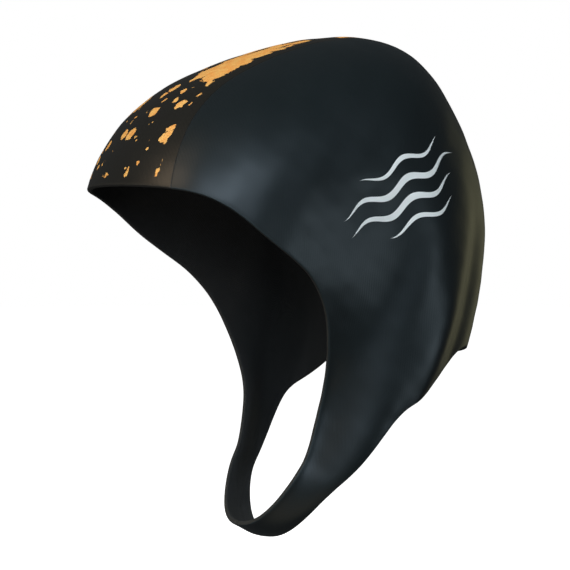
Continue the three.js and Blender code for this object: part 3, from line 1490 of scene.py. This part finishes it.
@dataclass(frozen=True)
class PaleFloor(Finish):
    """The studio floor, clear from below, whose colour is painted light: it glows faintly under the
    hood and brighter further out, until it is white.
    """

    glow: float = 0.32
    white: float = 1.05
    white_from: float = 0.35
    white_at: float = 1.2
    shine: float = 0.1

    def lay(self) -> bpy.types.Material:
        """Builds the floor's material.

        Returns:
            The material.
        """
        material, nodes, shader = self.start()
        # Painted light: the floor glows, dim near the hood and rising to white further out.
        far = nodes.add("ShaderNodeVectorMath", {0: nodes.object_place()}, operation="LENGTH")
        grow = nodes.between(far.outputs["Value"], self.white_from, self.white_at)
        for name, source in (
            ("Base Color", self.shade(1.0)),
            ("Roughness", self.roughness),
            ("Specular IOR Level", self.shine),
            ("Emission Color", nodes.mix(grow, (*[self.glow] * 3, 1.0), (*[self.white] * 3, 1.0))),
            ("Emission Strength", 1.0),
        ):
            nodes.feed(shader.inputs[name], source)
        below = nodes.add("ShaderNodeNewGeometry").outputs["Backfacing"]
        clear = nodes.add("ShaderNodeBsdfTransparent")
        choice = nodes.add("ShaderNodeMixShader", {0: below, 1: shader, 2: clear})
        nodes.add("ShaderNodeOutputMaterial", {"Surface": choice})
        return material


@dataclass
class Studio:
    """The pale floor, the lights and the camera."""

    target: tuple[float, float, float] = (0.0, -0.0299, -0.1166)
    azimuth: float = 64.0
    elevation: float = 1.46
    distance: float = 0.8474
    lens: float = 111.5
    near_clip: float = 0.05
    far_clip: float = 60.0
    floor_drop: float = 0.23
    floor_reach: float = 9.0
    floor_corners: int = 96
    floor: PaleFloor = PaleFloor("pale_floor", (0.9, 0.9, 0.9), 0.8)
    room_colour: Rgb = (0.9, 0.96, 1.0)
    room_strength: float = 0.07
    lights: tuple[SoftLight, ...] = (
        SoftLight("overhead", -40, 62, 1.6, 1.6, 1.6, 8, (1, 0.98, 0.95), glossy=False),
        SoftLight("back_fill", -140, 28, 1.6, 1.2, 1.2, 11, (1, 0.97, 0.92), glossy=False),
        SoftLight("front_fill", 54, 36, 1.4, 1.2, 1.2, 18, (0.8, 0.93, 1), glossy=False),
        SoftLight("low_fill", 32, -15, 1.4, 1.0, 1.0, 9, (1, 0.99, 0.97), glossy=False),
        SoftLight("key", 59, 15, 1.3, 1.4, 0.5, 8.9, (0.68, 0.84, 1), diffuse=False),
        SoftLight("forehead", -2, 25, 1.2, 0.6, 0.6, 2.7, (1, 0.76, 0.52), diffuse=False),
        SoftLight("rim", -158, -2, 1.4, 0.7, 0.9, 0.66, (1, 0.95, 0.5), diffuse=False),
        SoftLight("low_side", 121, -20, 1.3, 0.6, 0.5, 2.5, (0.7, 0.88, 1), diffuse=False),
        SoftLight("chin", 38, -62, 0.45, 0.3, 0.3, 0.08, (1, 0.85, 0.62), diffuse=False),
    )

    def towards(self, azimuth: float, elevation: float) -> Vector:
        """Returns the direction from the hood to an azimuth and elevation."""
        a, e = math.radians(azimuth), math.radians(elevation)
        return Vector((math.sin(a) * math.cos(e), -math.cos(a) * math.cos(e), math.sin(e)))

    def place_camera(self) -> None:
        """Makes the camera at the photograph's angle."""
        data = bpy.data.cameras.new("camera")
        data.lens = self.lens
        data.clip_start, data.clip_end = self.near_clip, self.far_clip
        camera = put("camera", data)
        back = self.towards(self.azimuth, self.elevation)
        camera.location = Vector(self.target) + back * self.distance
        camera.rotation_euler = (-back).to_track_quat("-Z", "Y").to_euler()
        bpy.context.scene.camera = camera

    def place_light(self, light: SoftLight) -> None:
        """Makes one soft light.

        Args:
            light: The light's values.
        """
        data = bpy.data.lights.new(light.name, "AREA")
        data.shape = "ELLIPSE"
        data.size, data.size_y = light.wide, light.high
        data.energy = light.watts
        data.color = light.colour
        lamp = put(light.name, data)
        way = self.towards(light.azimuth, light.elevation)
        lamp.location = Vector(self.target) + way * light.distance
        lamp.rotation_euler = way.to_track_quat("Z", "Y").to_euler()
        lamp.visible_camera = False
        lamp.visible_glossy = light.glossy
        lamp.visible_diffuse = light.diffuse

    def place_floor(self, lowest: float) -> None:
        """Makes the plain pale floor, under a hood that hangs free.

        Args:
            lowest: The hood's lowest point, in metres.
        """
        mesh = bpy.data.meshes.new("floor")
        turns = np.linspace(0, math.tau, self.floor_corners, endpoint=False)
        reach, height = self.floor_reach, lowest - self.floor_drop
        ring = [(reach * math.cos(t), reach * math.sin(t), height) for t in turns]
        mesh.from_pydata(ring, [], [list(range(len(ring)))])
        floor = put("floor", mesh)
        mesh.materials.append(self.floor.lay())
        floor.visible_glossy = False
        floor.visible_diffuse = False

    def place_world(self) -> None:
        """Makes the white room: bright where the camera sees it, dim as a light."""
        world = bpy.data.worlds.new("white_room")
        world.use_nodes = True
        world.node_tree.nodes.clear()
        nodes = Nodes(world.node_tree)
        seen = nodes.add("ShaderNodeLightPath").outputs["Is Camera Ray"]
        bright = nodes.add("ShaderNodeBackground", {"Color": (1, 1, 1, 1)})
        dimmed = {"Color": (*self.room_colour, 1), "Strength": self.room_strength}
        dim = nodes.add("ShaderNodeBackground", dimmed)
        choice = nodes.add("ShaderNodeMixShader", {0: seen, 1: dim, 2: bright})
        nodes.add("ShaderNodeOutputWorld", {"Surface": choice})
        bpy.context.scene.world = world

    def build(self, lowest: float) -> None:
        """Builds the whole studio.

        Args:
            lowest: The hood's lowest point, in metres.
        """
        self.place_camera()
        for light in self.lights:
            self.place_light(light)
        self.place_floor(lowest)
        self.place_world()
        bpy.context.scene.view_settings.view_transform = "Standard"


@dataclass
class SwimHood:
    """The whole hood: a printed band, two side panels and the thread in their seams."""

    form: HoodForm = field(default_factory=HoodForm)

    def finishes(self) -> dict[str, bpy.types.Material]:
        """Builds each material once.

        Returns:
            The materials, by a short name.
        """
        effects = Effects()
        kinds = {
            "print": PrintedSkin("printed_smooth_skin", (0.0118, 0.0102, 0.0078), 0.38),
            "plain": SmoothSkin("plain_smooth_skin", (0.0073, 0.0108, 0.012), 0.42),
            "side": WaveMarkSkin("side_smooth_skin", (0.0073, 0.0108, 0.012), 0.42),
            "foam": CutFoam("cut_rubber_edge", (0.034, 0.031, 0.026), 0.75),
            "jersey": Jersey("black_jersey", (0.02, 0.0197, 0.0193), 0.95),
            "thread": Thread("black_thread", (0.014, 0.014, 0.015), 0.55),
        }
        return {name: finish.build(effects) for name, finish in kinds.items()}

    def build(self) -> None:
        """Builds every piece in order and reports it."""
        made = self.finishes()
        inside = {Face.CUT: made["foam"], Face.LINING: made["jersey"]}
        form, chin, smooth = self.form, self.form.chin_rib, "smooth_rubber"
        band, side = (70, 260, (0.108, 0.34)), (210, 120, (0.19, 0.3))
        panels = (
            Panel("band_rubber", "centre_band", "printed_rubber", form, "print", -1, 1, *band),
            Panel("side_rubber_left", "side_panel_left", smooth, form, "side", 1, chin, *side),
            Panel("side_rubber_right", "side_panel_right", smooth, form, "plain", -1, -chin, *side),
        )
        for panel in panels:
            piece = panel.build({Face.SKIN: made[panel.skin], **inside})
            count = len(piece.data.polygons)
            LOG.info("%s: %d faces, %.4f square metres", piece.name, count, panel.area)
        thread = SeamStitches(form).build(made["thread"])
        LOG.info("%s: %d faces", thread.name, len(thread.data.polygons))


def main() -> None:
    """Builds the hood and its studio."""
    logging.basicConfig(level=logging.INFO, format="%(message)s")
    SwimHood().build()
    Studio().build(cad_bounds[0].z)


if __name__ == "__main__":
    main()
